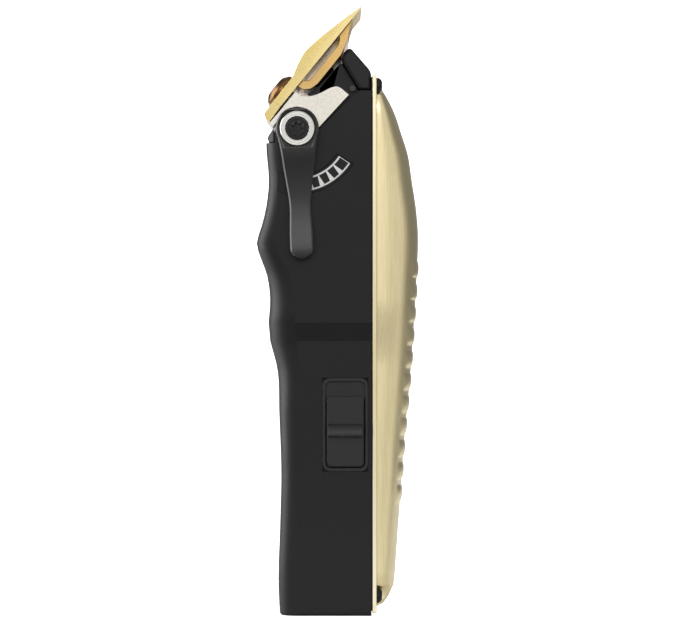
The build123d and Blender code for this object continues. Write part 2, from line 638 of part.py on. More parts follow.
with BuildPart() as motor_screws:
    for side in (-1, 1):
        with Locations((MOTOR_X, side * 8.5, CAN_HIGH + 2.3)):
            Cylinder(2.3, 1.2)
        with Locations((MOTOR_X, side * 8.5, CAN_HIGH + 1)):
            Cylinder(1.2, 1.9)
motor_screws.part.label = "motor_screws"
export_step(motor_screws.part, "parts/motor_screws.step")

with BuildPart() as shaft:
    with Locations((MOTOR_X, 0, (82.4 + 122) / 2)):
        Cylinder(SHAFT_R, 122 - 82.4)
shaft.part.label = "motor_shaft"
export_step(shaft.part, "parts/motor_shaft.step")

with BuildPart() as armature:
    with BuildSketch(Plane.XY.offset(91)):
        with Locations((MOTOR_X, 0)):
            Circle(9.2)
            Circle(SHAFT_R + 0.02, mode=Mode.SUBTRACT)
            with PolarLocations(9.2, 5):
                Rectangle(3.4, 1.6, mode=Mode.SUBTRACT)
    extrude(amount=17)
armature.part.label = "armature"
export_step(armature.part, "parts/armature.step")

with BuildPart() as commutator:
    with Locations((MOTOR_X, 0, 87.6)):
        Cylinder(3.0, 4)
        Cylinder(SHAFT_R + 0.02, 5, mode=Mode.SUBTRACT)
commutator.part.label = "commutator"
export_step(commutator.part, "parts/commutator.step")

with BuildPart() as eccentric:
    with Locations((MOTOR_X, 0, 121.2)):
        Cylinder(4.0, 4.4)
    with Locations((MOTOR_X - 2.6, 0, 120.2)):
        Cylinder(4.4, 2.4)
    with Locations((MOTOR_X, 0, 119.5)):
        Cylinder(SHAFT_R + 0.02, 5.2, mode=Mode.SUBTRACT)
eccentric.part.label = "eccentric"
export_step(eccentric.part, "parts/eccentric.step")

with BuildPart() as drive_pin:
    with Locations((MOTOR_X + ECCENTRIC_THROW, 0, (123.42 + FORK_LOW - 0.4) / 2)):
        Cylinder(DRIVE_PIN_R, FORK_LOW - 0.4 - 123.42)
drive_pin.part.label = "drive_pin"
export_step(drive_pin.part, "parts/drive_pin.step")

# ---- battery, board and socket ---------------------------------------------------------
with BuildPart() as cell:
    with Locations((CELL_X, 0, CELL_LOW + CELL_LENGTH / 2)):
        Cylinder(CELL_R, CELL_LENGTH)
    fillet(cell.edges().filter_by(GeomType.CIRCLE), 0.6)
cell.part.label = "battery_cell"
export_step(cell.part, "parts/battery_cell.step")

with BuildPart() as tabs:
    for height in (CELL_LOW - 0.35, CELL_LOW + CELL_LENGTH + 0.35):
        with Locations((CELL_X, 0, height)):
            Box(5, 9, 0.3)
tabs.part.label = "battery_tabs"
export_step(tabs.part, "parts/battery_tabs.step")

with BuildPart() as cradle:
    with Locations((0.6, 0, 46)):
        Box(21.6, 22.4, 56)
    with Locations((CELL_X, 0, 46)):
        Cylinder(CELL_R + 0.1, 70, mode=Mode.SUBTRACT)
    with Locations((0.6, 0, 46)):
        Box(30, 14, 34, mode=Mode.SUBTRACT)
cradle.part.label = "battery_cradle"
export_step(cradle.part, "parts/battery_cradle.step")

BOARD_HOLES = [(y, z) for y in (-12.5, 12.5) for z in (18, 70)]
with BuildPart() as board:
    with BuildSketch(Plane.YZ.offset(12.4)):
        with Locations((0, 44)):
            RectangleRounded(29, 58, 1)
        with Locations(*BOARD_HOLES):
            Circle(1.1, mode=Mode.SUBTRACT)
    extrude(amount=1.2)
    with Locations((14.4, 0, 30), (14.4, -6, 52)):
        Box(1.6, 7, 7)
board.part.label = "control_board"
export_step(board.part, "parts/control_board.step")

with BuildPart() as board_screws:
    for y, z in BOARD_HOLES:
        with Locations(Location((14.1, y, z), (0, 90, 0))):
            Cylinder(1.9, 0.9)
        with Locations(Location((12.2, y, z), (0, 90, 0))):
            Cylinder(1.0, 3.4)
board_screws.part.label = "board_screws"
export_step(board_screws.part, "parts/board_screws.step")

SOCKET_R, SOCKET_DEPTH = 2.75, 7.0
with BuildPart() as socket:
    with BuildSketch(Plane.XY.offset(0.3)):
        Circle(4.0)
        Circle(SOCKET_R, mode=Mode.SUBTRACT)
    extrude(amount=SOCKET_DEPTH + 2.2)
    with BuildSketch(Plane.XY.offset(SOCKET_DEPTH + 2.5)):
        Circle(4.0)
        Circle(0.7, mode=Mode.SUBTRACT)
    extrude(amount=1.6)
socket.part.label = "dc_socket"
export_step(socket.part, "parts/dc_socket.step")

with BuildPart() as contact:
    with Locations((0, 0, SOCKET_DEPTH + 4.2)):
        Cylinder(0.65, 3.1)
contact.part.label = "socket_contact"
export_step(contact.part, "parts/socket_contact.step")

with BuildPart() as led:
    with Locations((0, 9, 1.4)):
        Cylinder(1.2, 2.2)
led.part.label = "charge_led"
export_step(led.part, "parts/charge_led.step")
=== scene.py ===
import math

import bmesh
import bpy
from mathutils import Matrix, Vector


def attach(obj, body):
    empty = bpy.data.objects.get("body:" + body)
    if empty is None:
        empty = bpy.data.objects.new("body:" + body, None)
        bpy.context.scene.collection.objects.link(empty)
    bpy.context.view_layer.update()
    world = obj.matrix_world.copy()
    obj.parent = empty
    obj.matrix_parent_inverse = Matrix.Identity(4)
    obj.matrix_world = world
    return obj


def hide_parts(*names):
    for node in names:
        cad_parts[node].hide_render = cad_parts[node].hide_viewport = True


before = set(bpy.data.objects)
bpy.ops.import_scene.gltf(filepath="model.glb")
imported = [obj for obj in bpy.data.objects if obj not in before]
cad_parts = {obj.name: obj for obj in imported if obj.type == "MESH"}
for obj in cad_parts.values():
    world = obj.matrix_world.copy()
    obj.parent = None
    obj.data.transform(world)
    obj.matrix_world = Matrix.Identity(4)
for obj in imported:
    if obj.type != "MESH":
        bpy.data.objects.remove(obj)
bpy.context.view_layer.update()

# ==== Housing ==========================================================================
# The main case is a die-cast zinc trough sprayed with a soft matte black paint. It is one
# casting, with the bearing ear of the lever and the bosses of the lower screws cast in it.

MM = 0.001


def linear(hex_colour):
    """An sRGB hex colour as linear red, green, blue and alpha."""
    channels = [int(hex_colour[i:i + 2], 16) / 255 for i in (1, 3, 5)]
    return [c / 12.92 if c <= 0.04045 else ((c + 0.055) / 1.055) ** 2.4 for c in channels] + [1.0]


def add(tree, kind, values=(), links=(), stops=(), **fields):
    """Adds one node: fields are its properties, values its inputs, links its sources, and stops
    the places and colours of a ramp."""
    node = tree.nodes.new(kind)
    for name, value in fields.items():
        setattr(node, name, value)
    for name, value in dict(values).items():
        node.inputs[name].default_value = value
    for name, (source, output) in dict(links).items():
        tree.links.new(source.outputs[output], node.inputs[name])
    for index, (place, colour) in enumerate(stops):
        ramp = node.color_ramp.elements
        stop = ramp[index] if index < len(ramp) else ramp.new(place)
        stop.position = place
        stop.color = linear(colour) if isinstance(colour, str) else (colour, colour, colour, 1.0)
    return node


def surface(name, dark, light, worn, grain, stretch, rough, relief, cloud=16.0, wear=(0.53, 0.60), **shader):
    """A finish with grain of a real size in mm, slow clouds in its gloss, and edges that the hand
    has worn. A wear range near 1 leaves large flats with an even coat."""
    material = bpy.data.materials.new(name)
    material.use_nodes = True
    tree = material.node_tree
    skin = tree.nodes["Principled BSDF"]
    place = add(tree, "ShaderNodeTexCoord")
    scale = [s / (grain * MM) for s in stretch]
    spread = add(tree, "ShaderNodeMapping", {"Scale": scale}, {"Vector": (place, "Object")})
    fine = add(tree, "ShaderNodeTexNoise", {"Scale": 1.0, "Detail": 5.0, "Roughness": 0.6},
               {"Vector": (spread, "Vector")})
    slow = add(tree, "ShaderNodeTexNoise", {"Scale": 1 / (cloud * MM), "Detail": 3.0},
               {"Vector": (place, "Object")})
    tone = add(tree, "ShaderNodeValToRGB", links={"Fac": (fine, "Fac")}, stops=((0.35, dark), (0.68, light)))
    edge = add(tree, "ShaderNodeNewGeometry")
    rub = add(tree, "ShaderNodeValToRGB", links={"Fac": (edge, "Pointiness")},
              stops=((wear[0], 0.0), (wear[1], 1.0)))
    paint = add(tree, "ShaderNodeMixRGB", {"Color2": linear(worn)},
                {"Fac": (rub, "Color"), "Color1": (tone, "Color")})
    gloss = add(tree, "ShaderNodeMapRange",
                {"From Min": 0.3, "From Max": 0.7, "To Min": rough[0], "To Max": rough[1]},
                {"Value": (slow, "Fac")})
    bump = add(tree, "ShaderNodeBump", {"Strength": 1.0, "Distance": relief * MM}, {"Height": (fine, "Fac")})
    tree.links.new(paint.outputs["Color"], skin.inputs["Base Color"])
    tree.links.new(gloss.outputs["Result"], skin.inputs["Roughness"])
    tree.links.new(bump.outputs["Normal"], skin.inputs["Normal"])
    for socket, value in shader.items():
        skin.inputs[socket.replace("_", " ")].default_value = value
    return material


def dress(piece, material, body, slot, *nodes):
    """Gives a piece its material, the body it rides on and the CAD nodes that it stands for; the slot is not
    used.
    """
    piece.data.materials.clear()
    piece.data.materials.append(material)
    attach(piece, body)
    if nodes:
        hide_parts(*nodes)
    return piece


def mesh_object(name, form):
    """Turns a bmesh into an object whose flats stay crisp and whose curves are smooth."""
    bmesh.ops.recalc_face_normals(form, faces=form.faces)
    for face in form.faces:
        face.smooth = True
    for edge in form.edges:
        edge.smooth = len(edge.link_faces) == 2 and edge.calc_face_angle(0) < math.radians(32)
    mesh = bpy.data.meshes.new(name)
    form.to_mesh(mesh)
    form.free()
    piece = bpy.data.objects.new(name, mesh)
    bpy.context.collection.objects.link(piece)
    return piece


def round_edges(piece, width, segments=3, angle=30):
    """Breaks a piece's sharp edges by a real width in mm."""
    bevel = piece.modifiers.new("edge_break", "BEVEL")
    bevel.width = width * MM
    bevel.segments = segments
    bevel.limit_method = "ANGLE"
    bevel.angle_limit = math.radians(angle)
    bevel.use_clamp_overlap = True
    even = piece.modifiers.new("even_normals", "WEIGHTED_NORMAL")
    even.keep_sharp = True
    even.weight = 100
    return piece


def from_node(node, name, width, segments=2, angle=30):
    """A copy of a CAD node's form with its flats made whole and its edges broken."""
    form = bmesh.new()
    form.from_mesh(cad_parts[node].data)
    bmesh.ops.remove_doubles(form, verts=form.verts, dist=0.002 * MM)
    bmesh.ops.dissolve_limit(form, angle_limit=math.radians(0.3), verts=form.verts, edges=form.edges)
    piece = mesh_object(name, form)
    flats = {key for face in piece.data.polygons if face.area > 90 * MM * MM for key in face.edge_keys}
    for edge in piece.data.edges:
        edge.use_edge_sharp = edge.use_edge_sharp or edge.key in flats
    return round_edges(piece, width, segments, angle)


# Soft matte black paint: a fine even grain that scatters the light, so the flats look charcoal.
black_paint = surface("matte_black_sprayed_paint", "#101010", "#161616", "#161616", 0.35, (1, 1, 1),
                      (0.40, 0.48), 0.010, wear=(0.97, 1.0), IOR=1.33)
dress(from_node("housing_shell", "case", 0.35), black_paint, "housing", "housing_black", "housing_shell")
dress(from_node("front_collar", "case_collar", 0.2), black_paint, "housing", "housing_black", "front_collar")

# ==== Joint shade and cover ============================================================
# A thin near-black layer fills the joint between the case and the cover, painted shade for the gap there.
# The cover is pressed aluminium, anodised gold, with a flat rim, a domed crown and eleven soft ribs for the
# palm.

# A near-black, dull finish on the joint layer, painted shade, so the joint reads as a dark line beside the
# gold.
joint_shade_black = surface("black_joint_painted_shade", "#0b0b0b", "#131313", "#1b1b1b", 0.4, (1, 1, 1),
                      (0.7, 0.8), 0.01)
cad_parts["lid_gasket"].data.materials.clear()
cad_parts["lid_gasket"].data.materials.append(joint_shade_black)

# height, x of the crown
CROWN_LINE = ((2.5, 13.9), (2.9, 15.7), (7.3, 18.3), (10.6, 18.75), (24, 19.7), (35, 20.55),
              (48, 21.45), (61, 22.7), (74.7, 23.75), (90, 24.7), (102.3, 25.2), (110, 24.7),
              (118.8, 23.4), (125.4, 22.4), (132.1, 20.3), (136.5, 18.85), (140.9, 16.7),
              (143.1, 15.25), (145.2, 13.9))
RIM_IN, RIM_OUT = 12.25, 13.35
# the step between rim and crown, the wall of the cover, and the power that sets its roundness
CREASE, COVER_WALL, CROWN_POWER = 0.3, 1.7, 2 / 2.7
CROWN_SKIM = 0.2  # the crown stays this far under its line, so the ribs stay inside the outline
FACET_TOP, FACET_SLOPE = 11.6, 0.42
LOWER_CROWN, CROWN_STEP = 19.6, 1.1
RIB_TOP, RIB_PITCH, RIB_HALF, RIB_RISE, RIBS = 94.0, 6.13, 2.15, 0.42, 11


def along(points, place):
    """A smooth curve through given points, read at a place."""
    for index in range(len(points) - 1):
        low, high = points[index], points[index + 1]
        if place <= high[0] or index == len(points) - 2:
            before, after = points[max(index - 1, 0)], points[min(index + 2, len(points) - 1)]
            span = high[0] - low[0]
            t = min(max((place - low[0]) / span, 0), 1)
            leave = (high[1] - before[1]) / (high[0] - before[0]) * span
            arrive = (after[1] - low[1]) / (after[0] - low[0]) * span
            return ((2 * t**3 - 3 * t**2 + 1) * low[1] + (t**3 - 2 * t**2 + t) * leave
                    + (3 * t**2 - 2 * t**3) * high[1] + (t**3 - t**2) * arrive)


def body_half(height):
    """Half width of the case at a height; it steps out where the hand's heel ends."""
    low, high = 20.9, 22.0
    t = min(max((height - 74.5) / 5, 0), 1)
    return low + (high - low) * t * t * (3 - 2 * t)


def crown_half(height):
    """Half width of the crown, rounded at its upper end and cut by a facet at its lower end."""
    end_radius, reach = 9.0, 145.6 - height
    pull = end_radius - math.sqrt(max(end_radius**2 - max(end_radius - reach, 0)**2, 0.5))
    facet = FACET_SLOPE * max(FACET_TOP - height, 0)
    swell = min(max((height - 68.0) / 18.0, 0), 1)
    return LOWER_CROWN + CROWN_STEP * swell * swell * (3 - 2 * swell) - 0.75 * pull - facet


def rib_rise(height, across):
    """How far the palm ribs lift the crown at a place."""
    nearest = min(abs(height - (RIB_TOP - RIB_PITCH * i)) for i in range(RIBS))
    fade = min(max((15.5 - abs(across)) / 3.0, 0), 1)
    hump = max(1 - (nearest / RIB_HALF) ** 2, 0) ** 0.55
    return RIB_RISE * hump * fade * fade * (3 - 2 * fade)


def carve(piece, *cutters):
    """Cuts solid tools out of a piece and throws the tools away."""
    for cutter in cutters:
        cut = piece.modifiers.new("cut", "BOOLEAN")
        cut.operation = "DIFFERENCE"
        cut.solver = "EXACT"
        cut.object = cutter
    settled = bpy.data.meshes.new_from_object(piece.evaluated_get(bpy.context.evaluated_depsgraph_get()))
    piece.modifiers.clear()
    piece.data = settled
    for cutter in cutters:
        bpy.data.objects.remove(cutter)
    return piece


def turned(name, profile, place, axis, steps=64):
    """A solid of revolution: profile is (distance along the axis, radius) in mm from a place in mm."""
    form = bmesh.new()
    turn = Vector((0, 0, 1)).rotation_difference(Vector(axis)).to_matrix()
    rings = []
    for rise, radius in profile:
        if radius == 0:
            rings.append([form.verts.new((Vector(place) + turn @ Vector((0, 0, rise))) * MM)])
            continue
        angles = [2 * math.pi * i / steps for i in range(steps)]
        spots = [turn @ Vector((radius * math.cos(a), radius * math.sin(a), rise)) for a in angles]
        rings.append([form.verts.new((Vector(place) + spot) * MM) for spot in spots])
    for low, high in zip(rings, rings[1:]):
        for i in range(steps):
            j = (i + 1) % steps
            corners = [low[i % len(low)], low[j % len(low)], high[j % len(high)], high[i % len(high)]]
            form.faces.new(list(dict.fromkeys(corners)))
    for ring, flip in ((rings[0], True), (rings[-1], False)):
        if len(ring) > 1:
            form.faces.new(ring[::-1] if flip else ring)
    return mesh_object(name, form)


def prism(name, outline, start, depth, origin, across, up):
    """A flat plate: an outline in mm on the plane of two directions, pushed along their normal."""
    form = bmesh.new()
    across, up = Vector(across).normalized(), Vector(up).normalized()
    out = across.cross(up)
    flat = [Vector(origin) + across * x + up * y for x, y in outline]
    low = [form.verts.new((p + out * start) * MM) for p in flat]
    high = [form.verts.new((p + out * (start + depth)) * MM) for p in flat]
    form.faces.new(low[::-1])
    form.faces.new(high)
    for i in range(len(flat)):
        j = (i + 1) % len(flat)
        form.faces.new((low[i], low[j], high[j], high[i]))
    return mesh_object(name, form)


def dome_skin(form, heights, inset, columns=64):
    """Rows of the crown's outer or inner skin; the outer one starts with the step of a crease."""
    rows = []
    for height in heights:
        half = crown_half(height) - inset
        lift = along(CROWN_LINE, height) - CROWN_SKIM - RIM_OUT - CREASE - inset
        foot = [(RIM_OUT - 0.5, -half + CREASE), (RIM_OUT + CREASE, -half + CREASE)]
        if inset:
            foot = [(RIM_OUT - 0.9, -half)]
        row = list(foot)
        for i in range(columns + 1):
            angle = math.pi * i / columns
            bow = abs(math.sin(angle)) ** CROWN_POWER
            across = -math.copysign(abs(math.cos(angle)) ** CROWN_POWER, math.cos(angle)) * half
            ribs = 0 if inset else rib_rise(height, across) * min(1, math.sin(angle) * 2)
            row.append((RIM_OUT + CREASE + max(lift, 0.05) * bow + ribs, across))
        row += [(x, -across) for x, across in reversed(foot)]
        rows.append([form.verts.new(Vector((x, y, height)) * MM) for x, y in row])
    for low, high in zip(rows, rows[1:]):
        for i in range(len(low)):
            j = (i + 1) % len(low)
            form.faces.new((low[i], low[j], high[j], high[i]))
    form.faces.new(rows[0])
    form.faces.new(rows[-1][::-1])


def dome_grid():
    """The cover's crown: a ribbed outer skin."""
    form = bmesh.new()
    heights = [2.5, 2.9, 3.6, 4.4, 5.3, 6.3, 7.3, 8.3, 9.4]
    while heights[-1] < 143.1:
        ribbed = RIB_TOP - RIB_PITCH * (RIBS - 1) - 3 < heights[-1] < RIB_TOP + 3
        heights.append(heights[-1] + (0.38 if ribbed else 1.3))
    dome_skin(form, heights + [144.8, 145.2], 0)
    return mesh_object("cover_crown", form)


def dome_core():
    """The hollow under the crown."""
    form = bmesh.new()
    dome_skin(form, [11.0 + 4.0 * i for i in range(33)], COVER_WALL)
    return mesh_object("core", form)


# Anodised aluminium, satin brushed along the body: fine lines that draw the highlight out.
gold_cover = surface("satin_brushed_gold_anodised_aluminium", "#e2d2a2", "#f0e2b6", "#faf0cf", 0.22,
                     (1, 1, 0.02), (0.27, 0.36), 0.003, 24.0, Metallic=1.0)
SCREW_HEIGHTS, SCREW_INSET = (5.4, 143.8), 3.6
corner_screws = [(side * (body_half(h) - SCREW_INSET), h) for h in SCREW_HEIGHTS for side in (-1, 1)]
crown = dome_grid()
POCKET = ((RIM_OUT - 0.6, 2.45), (RIM_OUT + 12, 2.9))
pockets = [turned(f"pocket_{i}", POCKET, (0, y, h), (1, 0, 0), 40) for i, (y, h) in enumerate(corner_screws)]
carve(crown, *pockets, dome_core())
dress(crown, gold_cover, "housing", "gold_cover", "lid_shell")

rim_outline = [(-20.9, 0.8), (20.9, 0.8), (20.9, 74.5), (22.0, 79.5),
               (22.0, 146.6), (-22.0, 146.6), (-22.0, 79.5), (-20.9, 74.5)]
window = [(-16.5, 11.0), (16.5, 11.0), (17.5, 76), (17.5, 138.0), (-17.5, 138.0), (-16.5, 76)]
rim = prism("cover_rim", rim_outline, RIM_IN, RIM_OUT - RIM_IN, (0, 0, 0), (0, 1, 0), (0, 0, 1))
carve(rim, prism("window", window, RIM_IN - 1, 4, (0, 0, 0), (0, 1, 0), (0, 0, 1)))
dress(round_edges(rim, 0.22, 3), gold_cover, "housing", "gold_cover")

# ==== Corner screws ====================================================================
# Four domed socket screws hold the cover. They are steel with a black oxide finish, and
# a hexagon is broached in each head.


def lobed(name, radius, depth, lobes, swell, place, axis):
    """A drive recess: a prism whose radius swells for each lobe, sunk from a place along an axis."""
    steps = 12 * lobes
    outline = []
    for i in range(steps):
        angle = 2 * math.pi * i / steps
        reach = radius * (1 + swell * math.cos(lobes * angle))
        outline.append((reach * math.cos(angle), reach * math.sin(angle)))
    axis = Vector(axis).normalized()
    across = axis.orthogonal().normalized()
    return prism(name, outline, -depth, depth + 3, place, across, axis.cross(across))


# Black oxide on steel: thin and dark with a low sheen, rubbed brighter on its rims.
black_oxide = surface("black_oxide_steel", "#0f0f0f", "#1b1b1b", "#3c3c3c", 0.25, (1, 1, 1),
                      (0.26, 0.36), 0.004, Metallic=0.6)
HEAD_RISE = 1.65
dome = ((-0.3, 2.0), (0.0, 2.15), (0.35, 2.15), (0.8, 2.0), (1.2, 1.7), (1.5, 1.2), (1.62, 0.7),
        (HEAD_RISE, 0))
for index, (y, height) in enumerate(corner_screws):
    head = turned(f"cover_screw_{index + 1}", dome, (RIM_OUT, y, height), (1, 0, 0), 48)
    carve(head, lobed("hexagon", 1.05, 0.9, 6, 0.07, (RIM_OUT + HEAD_RISE, y, height), (1, 0, 0)))
    dress(head, black_oxide, "housing", "black_screw", *(["lid_screws"] if index == 0 else []))

# ==== Nose cap, head block and pins =====================================================
# Two black mouldings close the head. The nose cap is glass-filled nylon with bevelled
# shoulders, and the block behind the blades carries the drive opening.

# Glass-filled nylon from a fine-grained mould: soft and even, a shade lighter on its bevels.
black_nylon = surface("moulded_black_glass_filled_nylon", "#121212", "#191818", "#2c2a29", 0.5, (1, 1, 1),
                      (0.40, 0.50), 0.012, wear=(0.97, 1.0), IOR=1.36)
nose = from_node("nose_cap", "nose", 0.9, 2)
nose.modifiers["edge_break"].use_clamp_overlap = False
dress(nose, black_nylon, "housing", "housing_black", "nose_cap")
dress(from_node("head_block", "block", 0.3), black_nylon, "housing", "black_plastic", "head_block")
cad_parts["head_pins"].data.materials.clear()
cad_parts["head_pins"].data.materials.append(black_oxide)

# ==== Fixed blade and cutter ===========================================================
# Both blades are ground tool steel with a gold titanium nitride coat. The fixed blade has
# a crowned back and thirty-six comb teeth; the cutter runs under it on a hollow ground face.

TIP = Vector((9.0, 0.0, 165.0))
DOWN = Vector((-0.632, 0.0, -0.775)).normalized()
OUT = Vector((-0.775, 0.0, 0.632)).normalized()
SIDE = Vector((0.0, 1.0, 0.0))
SCREW_DOWN, SCREW_APART = 30.9, 17.0


def on_blade(down, out, side=0.0):
    """A point of the blade's own frame in mm: down the blade, out from it, and to the side."""
    return TIP + DOWN * down + OUT * out + SIDE * side


# Titanium nitride on ground steel: gold with fine grinding lines that run across the blade.
# The cutter gets a darker, warmer copy of the same gold: painted shade, for the cutter that sits back under
# the fixed blade.
gold_steel = surface("ground_steel_gold_nitride_coat", "#d3ba72", "#e2cc8a", "#f2e2ae", 0.3, (1, 0.03, 1),
                     (0.22, 0.30), 0.003, 12.0, Metallic=1.0)
shaded_gold_steel = surface("ground_steel_gold_coat_painted_shade", "#cba460", "#dcb97c", "#ecd09a", 0.3, (1, 0.03, 1),
                          (0.20, 0.28), 0.003, 12.0, Metallic=1.0)
dress(from_node("fixed_blade", "comb_blade", 0.16), gold_steel, "carrier", "gold_blade", "fixed_blade")
# The cutter takes the darker copy of the gold, painted shade.
dress(from_node("cutter_blade", "moving_blade", 0.12), shaded_gold_steel, "cutter", "gold_blade",
      "cutter_blade")

# Two cheeks of the block's nylon close the gap under the cutter's heel at either side.
CHEEK_IN, CHEEK_OUT = 15.6, 18.4
CHEEK = ((14.9, -5.3), (23.0, -4.7), (26.4, -4.2), (27.3, -3.5), (27.3, -8.0), (21.0, -8.0))
for side in (-1, 1):
    cheek = bmesh.new()
    ends = [[cheek.verts.new(on_blade(down, out, side * y) * MM) for down, out in CHEEK]
            for y in (CHEEK_IN, CHEEK_OUT)]
    cheek.faces.new(ends[0])
    cheek.faces.new(ends[1][::-1])
    for i in range(len(CHEEK)):
        j = (i + 1) % len(CHEEK)
        cheek.faces.new((ends[0][i], ends[0][j], ends[1][j], ends[1][i]))
    piece = mesh_object(f"block_cheek_{'near' if side < 0 else 'far'}", cheek)
    dress(round_edges(piece, 0.15, 2), black_nylon, "housing", "black_plastic")

# ==== Blade screws =====================================================================
# Two wide domed screws clamp the fixed blade to the carrier. They are bronze-coated steel
# with a cross recess and a flat washer face.

# Bronze coat on turned steel: a warm brown that shines along the rim.
bronze = surface("bronze_coated_steel", "#62452a", "#7f5c3a", "#a5855c", 0.3, (1, 1, 1), (0.24, 0.34), 0.005,
                 Metallic=1.0)
WASHER_FACE = 2.2
wide_dome = ((0.0, 4.4), (0.08, 4.75), (0.3, 4.85), (1.0, 4.83), (1.3, 4.75), (1.6, 4.45), (2.3, 3.5),
             (2.5, 3.2), (2.62, 2.8), (2.66, 0))
for side in (-1, 1):
    seat = on_blade(SCREW_DOWN, WASHER_FACE, side * SCREW_APART / 2)
    head = turned(f"blade_screw_{'near' if side < 0 else 'far'}", wide_dome, seat, OUT, 64)
    arms = [prism("arm", ((-a, -b), (a, -b), (a, b), (-a, b)), 1.0, 3, seat, SIDE, OUT.cross(SIDE))
            for a, b in ((1.9, 0.42), (0.42, 1.9))]
    carve(head, *arms)
    dress(head, bronze, "carrier", "bronze_screw", *(["blade_screws"] if side < 0 else []))

# ==== Blade carrier ====================================================================
# A folded bracket of nickel-plated steel. Its flange holds the fixed blade, and its two ears
# slide beside the head block. The nut bar lies under the flange.

# Nickel plate over a smooth pressing: a warm white with a clear, slightly clouded shine.
nickel = surface("polished_nickel_plated_steel", "#e4ded2", "#f1ebe0", "#fbf8f2", 0.5, (1, 1, 1),
                 (0.15, 0.24), 0.002, 20.0, Metallic=1.0)
dress(from_node("blade_carrier", "carrier_bracket", 0.22, 3), nickel, "carrier", "carrier_steel",
      "blade_carrier")
dress(from_node("blade_nut_bar", "nut_bar", 0.2), nickel, "carrier", "carrier_steel", "blade_nut_bar")

# ==== Taper lever ======================================================================
# The lever is zinc, painted satin black. Its face dips below the hub and rises again to the
# toe, so the thumb finds it, and its edges are chamfered and catch a thin line of light.

PIVOT = Vector((-8.1, 0.0, 132.0))
TILT = math.radians(2.2)
ACROSS = Vector((math.cos(TILT), 0, math.sin(TILT)))
UP = Vector((-math.sin(TILT), 0, math.cos(TILT)))
NEAR = Vector((0.0, -1.0, 0.0))
LEVER_BACK, LEVER_FACE, HUB = 22.4, 25.0, 5.85
# distance below the pivot, half width of the arm
ARM_LINE = ((2.2, 5.4), (5.9, 4.7), (11.3, 4.05), (16.7, 3.3), (20.7, 2.86), (24.5, 2.92), (28.0, 3.08),
            (32.3, 3.1))
TOE_DOWN, TOE_RADIUS = 32.3, 3.1


# distance below the pivot, how far the face stands out from the mid-plane of the case
FACE_LINE = ((-5.9, 24.75), (-4.9, 25.0), (5.0, 25.0), (7.0, 24.85), (11.0, 24.2), (15.0, 23.75),
             (19.0, 23.65), (24.0, 24.0), (29.0, 24.55), (33.0, 25.0), (34.6, 24.95), (35.4, 24.7))
LEVER_CHAMFER = 0.4
WELL_RADIUS, BORE_RADIUS = 4.85, 3.2


def lever_half(down):
    """Half width of the lever at a distance below the pivot: round hub, necked arm, round toe."""
    if down < 2.2:
        return math.sqrt(max(HUB**2 - down**2, 0.16))
    if down > TOE_DOWN:
        return math.sqrt(max(TOE_RADIUS**2 - (down - TOE_DOWN) ** 2, 0.16))
    return along(ARM_LINE, down)


def lever_form():
    """The lever as rows down its length, each with a flat face and a chamfer at either side."""
    form = bmesh.new()
    places = [-5.83 + 0.25 * i for i in range(33)] + [2.6 + 0.9 * i for i in range(33)]
    places += [TOE_DOWN + 0.31 * i for i in range(10)] + [35.3]
    rows = []
    for down in places:
        half, face = lever_half(down), along(FACE_LINE, down)
        cut = min(LEVER_CHAMFER, half * 0.8)
        section = ((-half, LEVER_BACK), (-half, face - LEVER_CHAMFER), (-half + cut, face),
                   (half - cut, face), (half, face - LEVER_CHAMFER), (half, LEVER_BACK))
        rows.append([form.verts.new((PIVOT + ACROSS * x - UP * down + NEAR * y) * MM) for x, y in section])
    for low, high in zip(rows, rows[1:]):
        for i in range(6):
            j = (i + 1) % 6
            form.faces.new((low[i], low[j], high[j], high[i]))
    form.faces.new(rows[0])
    form.faces.new(rows[-1][::-1])
    return mesh_object("lever_arm", form)


# Satin paint on a smooth casting: black, with a soft shine where the face turns to the light.
satin_black = surface("satin_black_paint_on_zinc", "#101010", "#161616", "#2e2d2c", 0.4, (1, 1, 1),
                      (0.22, 0.28), 0.004, IOR=1.45)
lever = lever_form()
well = turned("well", ((LEVER_FACE - 0.5, WELL_RADIUS), (LEVER_FACE + 1, WELL_RADIUS)), PIVOT, NEAR)
bore = turned("bore", ((LEVER_BACK - 1.0, BORE_RADIUS), (LEVER_FACE + 1, BORE_RADIUS)), PIVOT, NEAR)
carve(lever, well, bore)
dress(lever, satin_black, "lever", "lever_black", "taper_lever")

# ==== Lever ring and screw =============================================================
# A turned stainless ring sits in the hub, and a black screw with a six-lobe recess holds the
# lever to its cam. Both keep the fine circles that the lathe left.


def lathe_face(name, dark, light, pitch, rough, **shader):
    """A turned metal face: circles at the tool's pitch about the lever's pivot."""
    material = surface(name, dark, light, light, 0.3, (1, 1, 1), rough, 0.003, **shader)
    tree = material.node_tree
    skin = tree.nodes["Principled BSDF"]
    place = add(tree, "ShaderNodeTexCoord")
    centre = add(tree, "ShaderNodeMapping", {"Location": [-c * MM for c in PIVOT]},
                 {"Vector": (place, "Object")})
    circles = add(tree, "ShaderNodeTexWave", {"Scale": 0.157 / (pitch * MM), "Distortion": 0.2},
                  {"Vector": (centre, "Vector")}, wave_type="RINGS", rings_direction="Y")
    relief = add(tree, "ShaderNodeBump", {"Strength": 1.0, "Distance": 0.01 * MM},
                 {"Height": (circles, "Fac")})
    tree.links.new(relief.outputs["Normal"], skin.inputs["Normal"])
    return material


